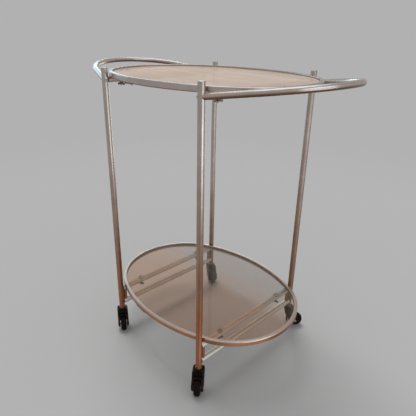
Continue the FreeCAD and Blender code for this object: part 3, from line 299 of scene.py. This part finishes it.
# Panes: 4 mm bronze tinted float glass with a ground edge, pushed into a grey vinyl channel in the
# rim's groove.  A film of dust and polish, wiped in streaks, hardly shows from above but turns pale
# along the pane, and the tint is brown towards the front and greyer towards the back.
film_colour = colour("#F0D8C2")
film_edge_on, film_face_on, film_falloff = 0.70, 0.008, 3.5
streak_length = 120 * mm
streak_stretch = (1, 4, 1)
streak_heading = math.radians(40)
brown_front, grey_back = -200 * mm, 170 * mm
for level, floor_light in (("top", colour("#CDCDCD")), ("bottom", colour("#EBEBEB"))):
    glass, tree, shader, place = material(f"bronze tinted float glass, {level}")
    tree.nodes.remove(shader)
    swirl = add(tree, "ShaderNodeMapping", Vector=place,
                Rotation=(0, 0, streak_heading), Scale=streak_stretch)
    wiped = add(tree, "ShaderNodeTexNoise", Vector=swirl.outputs[0], Scale=1 / streak_length, Detail=4.0)
    streaks = add(tree, "ShaderNodeMapRange", i0=wiped.outputs[0], i1=0.3, i2=0.7, i3=0.75, i4=1.25)
    edge_on = add(tree, "ShaderNodeLayerWeight", Blend=0.5)
    film_share = add(tree, "ShaderNodeMath", {"operation": "POWER"},
                     i0=edge_on.outputs["Facing"], i1=film_falloff)
    film_level = add(tree, "ShaderNodeMath", {"operation": "MULTIPLY_ADD"},
                     i0=film_share.outputs[0], i1=film_edge_on, i2=film_face_on)
    film_amount = add(tree, "ShaderNodeMath", {"operation": "MULTIPLY"},
                      i0=film_level.outputs[0], i1=streaks.outputs[0])
    across = add(tree, "ShaderNodeSeparateXYZ", Vector=place).outputs["Y"]
    greying = add(tree, "ShaderNodeMapRange", i0=across, i1=brown_front, i2=grey_back, i3=-0.2, i4=0.8)
    melt = add(tree, "ShaderNodeMath", {"operation": "MULTIPLY_ADD"},
               i0=wiped.outputs[0], i1=0.4, i2=greying.outputs[0])
    bronze = ((0.0, colour("#E6C5AF")), (0.6, colour("#E6CAB8")), (0.84, colour("#D6D1CD")))
    tint = add(tree, "ShaderNodeValToRGB", {"stops": bronze}, Fac=melt.outputs[0])
    clear = add(tree, "ShaderNodeBsdfTransparent", Color=tint.outputs[0])
    mirror_share = add(tree, "ShaderNodeFresnel", IOR=1.5)
    gleam = add(tree, "ShaderNodeBsdfGlossy", Color=(1, 1, 1, 1), Roughness=0.03)
    pane = add(tree, "ShaderNodeMixShader",
               i0=mirror_share.outputs[0], i1=clear.outputs[0], i2=gleam.outputs[0])
    film = add(tree, "ShaderNodeBsdfDiffuse", Color=film_colour)
    dusty = add(tree, "ShaderNodeMixShader",
                i0=film_amount.outputs[0], i1=pane.outputs[0], i2=film.outputs[0])
    # A ray is tinted where it enters the pane and leaves freely.
    inside = add(tree, "ShaderNodeNewGeometry").outputs["Backfacing"]
    leaving = add(tree, "ShaderNodeBsdfTransparent", Color=(1, 1, 1, 1))
    both = add(tree, "ShaderNodeMixShader", i0=inside, i1=dusty.outputs[0], i2=leaving.outputs[0])
    # The light that goes on to the floor, or comes back from it, is only dimmed.
    path = add(tree, "ShaderNodeLightPath")
    passing = add(tree, "ShaderNodeMath", {"operation": "MAXIMUM"},
                  i0=path.outputs["Is Shadow Ray"], i1=path.outputs["Is Diffuse Ray"])
    dimmed = add(tree, "ShaderNodeBsdfTransparent", Color=floor_light)
    lit = add(tree, "ShaderNodeMixShader",
              i0=passing.outputs[0], i1=both.outputs[0], i2=dimmed.outputs[0])
    tree.links.new(lit.outputs[0], tree.nodes["Material Output"].inputs["Surface"])
    dress(glass, f"{level}_glass")

# Vinyl channel is smooth and half matt, with a cloudy bloom; the rubber pads have yellowed unevenly.
for name, bloom_size, dark, pale, dullness, part in (
    ("grey vinyl glazing channel", 12 * mm, "#84766A", "#A09080", 0.55, "seal"),
    ("moulded translucent rubber, yellowed", 4 * mm, "#BBAC9C", "#CFC0B0", 0.5, "glass_pads"),
):
    soft_plastic, tree, shader, place = material(name)
    bloom = add(tree, "ShaderNodeTexNoise", Vector=place, Scale=1 / bloom_size, Detail=3.0)
    tint = add(tree, "ShaderNodeValToRGB", {"stops": ((0.3, colour(dark)), (0.7, colour(pale)))},
               Fac=bloom.outputs[0])
    tree.links.new(tint.outputs[0], shader.inputs["Base Color"])
    shader.inputs["Roughness"].default_value = dullness
    dress(soft_plastic, f"top_{part}", f"bottom_{part}")


# Tray bolts and wing nuts: zinc plated bolts through the crossbars under each pane, and cast wing
# nuts under the trays, coloured nearly black in mottled patches.  The sand they were cast in shows as
# grit.
dark_patch_size = 3 * mm
sand_grain_size = 0.4 * mm
dress(zinc, "top_tray_bolts", "bottom_tray_bolts")

dark_cast_brass, tree, shader, place = material("cast brass, dark")
patches = add(tree, "ShaderNodeTexNoise", Vector=place, Scale=1 / dark_patch_size, Detail=4.0)
tint = add(tree, "ShaderNodeValToRGB", {"stops": ((0.3, colour("#4A423A")), (0.75, colour("#84786A")))},
           Fac=patches.outputs[0])
rough = add(tree, "ShaderNodeMapRange", i0=patches.outputs[0], i3=0.55, i4=0.35)
sand = add(tree, "ShaderNodeTexNoise", Vector=place, Scale=1 / sand_grain_size, Detail=2.0)
relief = add(tree, "ShaderNodeBump", Strength=0.2, Distance=0.05 * mm, Height=sand.outputs[0])
tree.links.new(tint.outputs[0], shader.inputs["Base Color"])
tree.links.new(rough.outputs[0], shader.inputs["Roughness"])
tree.links.new(relief.outputs[0], shader.inputs["Normal"])
shader.inputs["Metallic"].default_value = 1.0
dress(dark_cast_brass, "top_wing_nuts", "bottom_wing_nuts")


# Castor hoods: black phenolic moulded in one piece, with a domed top, two cheeks that carry the axle
# and a curved guard on the stem's side of the wheel.  They are smooth and almost black, and their
# sharp edges turn brown in patches: rubbed wear, and a painted glint of a warm floor.
castor_headings = {"front_left": -30, "front_right": -50, "rear_left": -30, "rear_right": 35}
hood_width = 30 * mm
hood_top = 61.7 * mm
hood_shoulder = 9.5 * mm
hood_voxel = 0.7 * mm
hood_block_length = 100 * mm
axle_trail = 23 * mm
axle_height = 20 * mm
guard_radius = 26.5 * mm
guard_inside_radius = 21.6 * mm
guard_width = 24 * mm
guard_front = 3 * mm
guard_foot = 14 * mm
guard_facets = 64
scuff_size = 8 * mm


def castor_place(corner):
    """Where a castor stands: on its leg's axis, turned to its heading."""
    side = -1 if corner.endswith("left") else 1
    across = -1 if corner.startswith("front") else 1
    turn = Matrix.Rotation(math.radians(castor_headings[corner]), 4, "Z")
    return Matrix.Translation((side * leg_x, across * leg_y, 0)) @ turn


def drum_on_axle(radius, width):
    """A drum of a radius and width round the castor's axle, as a start for shaping."""
    bpy.ops.object.select_all(action="DESELECT")
    bpy.ops.mesh.primitive_cylinder_add(vertices=guard_facets, radius=radius, depth=width,
                                        location=(axle_trail, 0, axle_height),
                                        rotation=(quarter_turn, 0, 0))
    return bpy.context.object


def apply_modifier(piece, kind, **settings):
    """Adds a modifier to a piece, and applies it."""
    step = piece.modifiers.new(kind, kind)
    for key, value in settings.items():
        setattr(step, key, value)
    bpy.context.view_layer.objects.active = piece
    bpy.ops.object.modifier_apply(modifier=step.name)


def castor_piece(pattern, corner, name, body, slot, finish, *replaced):
    """Copies a castor part to its corner: it rides on a body, and stands for CAD nodes there."""
    piece = bpy.data.objects.new(f"{corner}_castor_{name}", pattern.data.copy())
    bpy.context.scene.collection.objects.link(piece)
    piece.data.transform(castor_place(corner))
    piece.data.materials.clear()
    piece.data.materials.append(finish)
    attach(piece, f"{corner}_{body}")
    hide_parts(*(f"{corner}_castor_{node}" for node in replaced))


# The hood starts as the fork's own solid, with its loose triangles merged.
bpy.ops.object.select_all(action="DESELECT")
hood = bpy.data.objects.new("hood pattern", nodes["front_left_castor_fork"].data.copy())
bpy.context.scene.collection.objects.link(hood)
hood.data.transform(castor_place("front_left").inverted())
bpy.context.view_layer.objects.active = hood
hood.select_set(True)
bpy.ops.object.mode_set(mode="EDIT")
bpy.ops.mesh.select_all(action="SELECT")
bpy.ops.mesh.remove_doubles(threshold=0.001 * mm)
bpy.ops.object.mode_set(mode="OBJECT")

# A block with its two long upper edges rounded gives the hood its shoulders.
bpy.ops.object.select_all(action="DESELECT")
bpy.ops.mesh.primitive_cube_add(size=1, location=(0, 0, hood_top / 2),
                                scale=(hood_block_length, hood_width, hood_top))
dome = bpy.context.object
bpy.ops.object.transform_apply(location=True, rotation=True, scale=True)
for edge in dome.data.edges:
    ends = [dome.data.vertices[index].co for index in edge.vertices]
    edge.select = all(end.z > hood_top / 2 for end in ends) and ends[0].y * ends[1].y > 0
bpy.ops.object.mode_set(mode="EDIT")
bpy.ops.mesh.select_mode(type="EDGE")
bpy.ops.mesh.bevel(offset=hood_shoulder, segments=10)
bpy.ops.object.mode_set(mode="OBJECT")
apply_modifier(hood, "BOOLEAN", operation="INTERSECT", object=dome)

# The guard is the part of a drum below the stem, hollowed for the wheel; a remesh melts it in.
wheel_space = drum_on_axle(guard_inside_radius, hood_width)
guard = drum_on_axle(guard_radius, guard_width)
bpy.ops.object.transform_apply(location=True, rotation=True, scale=True)
bpy.ops.object.mode_set(mode="EDIT")
for cut_place, cut_away in (((guard_front, 0, 0), (1, 0, 0)), ((0, 0, guard_foot), (0, 0, -1))):
    bpy.ops.mesh.select_all(action="SELECT")
    bpy.ops.mesh.bisect(plane_co=cut_place, plane_no=cut_away, use_fill=True, clear_outer=True)
bpy.ops.object.mode_set(mode="OBJECT")
apply_modifier(guard, "BOOLEAN", operation="DIFFERENCE", object=wheel_space)
apply_modifier(hood, "BOOLEAN", operation="UNION", object=guard)
apply_modifier(hood, "REMESH", mode="VOXEL", voxel_size=hood_voxel)
apply_modifier(hood, "SMOOTH", factor=0.5, iterations=6)
hood.data.shade_smooth()
for shaping in (dome, guard, wheel_space):
    bpy.data.objects.remove(shaping)

moulding, tree, shader, place = material("black moulded phenolic")
scuff = add(tree, "ShaderNodeTexNoise", Vector=place, Scale=1 / scuff_size, Detail=5.0)
black = add(tree, "ShaderNodeValToRGB", {"stops": ((0.35, colour("#030202")), (0.7, colour("#0E0806")))},
            Fac=scuff.outputs[0])
bend = add(tree, "ShaderNodeNewGeometry").outputs["Pointiness"]
edges = add(tree, "ShaderNodeMapRange", i0=bend, i1=0.508, i2=0.545)
edge_patches = add(tree, "ShaderNodeMapRange", i0=scuff.outputs[0], i1=0.38, i2=0.52)
# Painted glint: sharp edges turn brown in patches, for rubbed wear and for the glint of a warm floor.
rubbed_edge_and_glint = add(tree, "ShaderNodeMath", {"operation": "MULTIPLY"},
             i0=edges.outputs[0], i1=edge_patches.outputs[0])
tint = add(tree, "ShaderNodeMix", {"data_type": "RGBA"},
           i0=rubbed_edge_and_glint.outputs[0], i6=black.outputs[0], i7=colour("#7A4526"))
worn = add(tree, "ShaderNodeMapRange", i0=scuff.outputs[0], i3=0.22, i4=0.5)
tree.links.new(tint.outputs[2], shader.inputs["Base Color"])
tree.links.new(worn.outputs[0], shader.inputs["Roughness"])
shader.inputs["Specular IOR Level"].default_value = 0.1
for corner in corners:
    castor_piece(hood, corner, "hood", "castor", "castor_plastic", moulding, "fork")
    dress(moulding, f"{corner}_castor_hub")
bpy.data.objects.remove(hood)


# Castor tyres: black rubber moulded on the hubs, with round shoulders and a lip against the hub on
# each side.  The rubber is dull and finely pitted, and the floor has scuffed it.
tyre_radius = 19.98 * mm
tyre_width = 15.6 * mm
tyre_hole_radius = 14 * mm
tyre_shoulder = 5.4 * mm
tyre_lip = 0.25 * mm
tyre_facets = 96
tyre_slack = 0.1 * mm
most_corners_in_wall = 8
tread_scuff_size = 5 * mm
grit_size = 0.6 * mm


def select_where(piece, part, test):
    """Selects the faces or edges of a piece, in edit mode, whose points pass a test."""
    bpy.ops.object.mode_set(mode="OBJECT")
    for group in (piece.data.vertices, piece.data.edges, piece.data.polygons):
        group.foreach_set("select", [False] * len(group))
    for item in getattr(piece.data, part):
        item.select = test([piece.data.vertices[index].co for index in item.vertices])
    bpy.ops.object.mode_set(mode="EDIT")


# A drum gets round shoulders, each end is inset to the lip and opened, and a wall joins the holes.
bpy.ops.object.select_all(action="DESELECT")
bpy.ops.mesh.primitive_cylinder_add(vertices=tyre_facets, radius=tyre_radius, depth=tyre_width,
                                    location=(0, 0, 0))
tyre = bpy.context.object
bpy.ops.object.mode_set(mode="EDIT")
bpy.ops.mesh.select_mode(type="EDGE")
select_where(tyre, "edges", lambda points: abs(points[0].z - points[1].z) < tyre_slack)
bpy.ops.mesh.bevel(offset=tyre_shoulder, segments=8)
bpy.ops.mesh.select_mode(type="FACE")
select_where(tyre, "polygons", lambda points: len(points) > most_corners_in_wall)
bpy.ops.mesh.inset(thickness=tyre_lip, depth=-tyre_lip)
bpy.ops.mesh.inset(thickness=tyre_radius - tyre_shoulder - tyre_lip - tyre_hole_radius)
bpy.ops.mesh.delete(type="ONLY_FACE")
bpy.ops.mesh.select_mode(type="EDGE")
select_where(tyre, "edges", lambda points: all(
    abs(math.hypot(point.x, point.y) - tyre_hole_radius) < tyre_slack for point in points))
bpy.ops.mesh.bridge_edge_loops()
bpy.ops.mesh.select_all(action="SELECT")
bpy.ops.mesh.normals_make_consistent(inside=False)
bpy.ops.object.mode_set(mode="OBJECT")
on_axle = Matrix.Translation((axle_trail, 0, axle_height)) @ Matrix.Rotation(quarter_turn, 4, "X")
tyre.data.transform(on_axle)
bpy.ops.object.select_all(action="DESELECT")
tyre.select_set(True)
bpy.context.view_layer.objects.active = tyre
bpy.ops.object.shade_smooth_by_angle(angle=math.radians(35))

rubber, tree, shader, place = material("black rubber tyre")
scuff = add(tree, "ShaderNodeTexNoise", Vector=place, Scale=1 / tread_scuff_size, Detail=5.0)
tint = add(tree, "ShaderNodeValToRGB", {"stops": ((0.35, colour("#070606")), (0.7, colour("#171311")))},
           Fac=scuff.outputs[0])
grit = add(tree, "ShaderNodeTexNoise", Vector=place, Scale=1 / grit_size, Detail=2.0)
relief = add(tree, "ShaderNodeBump", Strength=0.3, Distance=0.1 * mm, Height=grit.outputs[0])
tree.links.new(tint.outputs[0], shader.inputs["Base Color"])
tree.links.new(relief.outputs[0], shader.inputs["Normal"])
shader.inputs["Roughness"].default_value = 0.55
shader.inputs["Specular IOR Level"].default_value = 0.1
for corner in corners:
    castor_piece(tyre, corner, "tread", "wheel", "castor_tyre", rubber, "tyre")
bpy.data.objects.remove(tyre)


# Castor fittings: a thin brass socket in the foot of each leg, dulled to a mottled gold, and in it
# the plated stem on which the hood turns.  The axle is a plated rivet whose heads show on the cheeks.
brass_patch_size = 5 * mm
brass, tree, shader, place = material("dulled brass")
patches = add(tree, "ShaderNodeTexNoise", Vector=place, Scale=1 / brass_patch_size, Detail=5.0)
tint = add(tree, "ShaderNodeValToRGB", {"stops": ((0.3, colour("#8A7444")), (0.7, colour("#C8B27A")))},
           Fac=patches.outputs[0])
tree.links.new(tint.outputs[0], shader.inputs["Base Color"])
shader.inputs["Metallic"].default_value = 1.0
shader.inputs["Roughness"].default_value = 0.35
dress(brass, "castor_sockets")
for corner in corners:
    dress(zinc, f"{corner}_castor_stem", f"{corner}_castor_axle")


# Floor and light: a plain grey floor that runs out to a grey backdrop of the same tone, and one
# broad soft light from above.  Cards round the trolley show only as highlights along the tubes.
backdrop_grey = colour("#B1B1B1")
floor_radius = 30.0
floor_facets = 96
floor_lit_radius = 1.3
floor_fade_radius = 2.6

bpy.ops.object.select_all(action="DESELECT")
bpy.ops.mesh.primitive_circle_add(vertices=floor_facets, radius=floor_radius, fill_type="NGON",
                                  location=(0, 0, 0))
floor = bpy.context.object
floor.name = "floor"
paint, tree, shader, place = material("grey floor paint")
shader.inputs["Base Color"].default_value = colour("#C3C3C3")
shader.inputs["Roughness"].default_value = 0.9
shader.inputs["Specular IOR Level"].default_value = 0.0
distance = add(tree, "ShaderNodeVectorMath", {"operation": "LENGTH"}, i0=place)
far = add(tree, "ShaderNodeMapRange", {"interpolation_type": "SMOOTHSTEP"}, i0=distance.outputs["Value"],
          i1=floor_lit_radius, i2=floor_fade_radius)
glow = add(tree, "ShaderNodeEmission", Color=backdrop_grey, Strength=1.0)
blend = add(tree, "ShaderNodeMixShader", i0=far.outputs[0], i1=shader.outputs[0], i2=glow.outputs[0])
tree.links.new(blend.outputs[0], tree.nodes["Material Output"].inputs["Surface"])
floor.data.materials.append(paint)

world = bpy.data.worlds.new("studio")
bpy.context.scene.world = world
world.use_nodes = True
tree = world.node_tree
path = add(tree, "ShaderNodeLightPath")
seen = add(tree, "ShaderNodeMath", {"operation": "MAXIMUM"},
           i0=path.outputs["Is Camera Ray"], i1=path.outputs["Is Glossy Ray"])
seen_through = add(tree, "ShaderNodeMath", {"operation": "MAXIMUM"},
                   i0=seen.outputs[0], i1=path.outputs["Is Transmission Ray"])
ambient = add(tree, "ShaderNodeBackground", Color=(1, 1, 1, 1), Strength=0.50)
backdrop = add(tree, "ShaderNodeBackground", Color=backdrop_grey, Strength=1.0)
sky = add(tree, "ShaderNodeMixShader",
          i0=seen_through.outputs[0], i1=ambient.outputs[0], i2=backdrop.outputs[0])
tree.links.new(sky.outputs[0], tree.nodes["World Output"].inputs["Surface"])

soft_light = bpy.data.lights.new("overhead light", "SUN")
soft_light.energy = 1.17
soft_light.angle = math.radians(25)
overhead = bpy.data.objects.new("overhead light", soft_light)
overhead.rotation_euler = Vector((0.42, -0.15, -1.0)).to_track_quat("-Z", "Y").to_euler()
overhead.visible_glossy = False
bpy.context.scene.collection.objects.link(overhead)


def highlight_card(name, place, aim, width, height, watts, tone="#FFFFFF"):
    """A bright card that only glossy surfaces show: it faces a point, and its measures are in metres."""
    lamp = bpy.data.lights.new(name, "AREA")
    lamp.shape = "RECTANGLE"
    lamp.size = width
    lamp.size_y = height
    lamp.energy = watts
    lamp.color = colour(tone)[:3]
    card = bpy.data.objects.new(name, lamp)
    card.location = place
    card.rotation_euler = (Vector(aim) - Vector(place)).to_track_quat("-Z", "Y").to_euler()
    card.visible_camera = False
    card.visible_diffuse = False
    bpy.context.scene.collection.objects.link(card)


highlight_card("right card", (1.22, -0.1, 0.31), (0.16, -0.18, 0.31), 0.85, 0.62, 2.9, "#E6F1FF")
highlight_card("right upper card", (1.25, -0.1, 1.15), (0.3, 0, 0.72), 0.9, 0.45, 2.2, "#C6E4FF")
highlight_card("upper card", (-0.1, 0.1, 2.6), (0, 0, 0.7), 2.2, 2.2, 20.0, "#E2EEFF")
highlight_card("left window card", (-1.9, 0.0, 1.05), (-0.1, -0.1, 0.4), 1.4, 0.9, 5.0, "#ACD8F2")
highlight_card("right floor card", (0.9, -0.02, 0.003), (0.9, -0.02, 1.0), 0.8, 0.36, 0.08)
highlight_card("near floor card", (0.40, -0.14, 0.003), (0.40, -0.14, 1.0), 0.3, 0.3, 0.12)
highlight_card("back card", (-0.75, 1.2, 0.36), (0, 0, 0.36), 0.7, 0.66, 2.5)
highlight_card("left floor card", (-0.1, -0.65, 0.003), (-0.1, -0.65, 1.0), 0.5, 0.7, 0.2)
highlight_card("far window card", (-5.0, 3.0, 2.5), (0, 0, 0.7), 3.0, 0.9, 30.0, "#BCE2F6")

bpy.context.scene.view_settings.view_transform = "Standard"
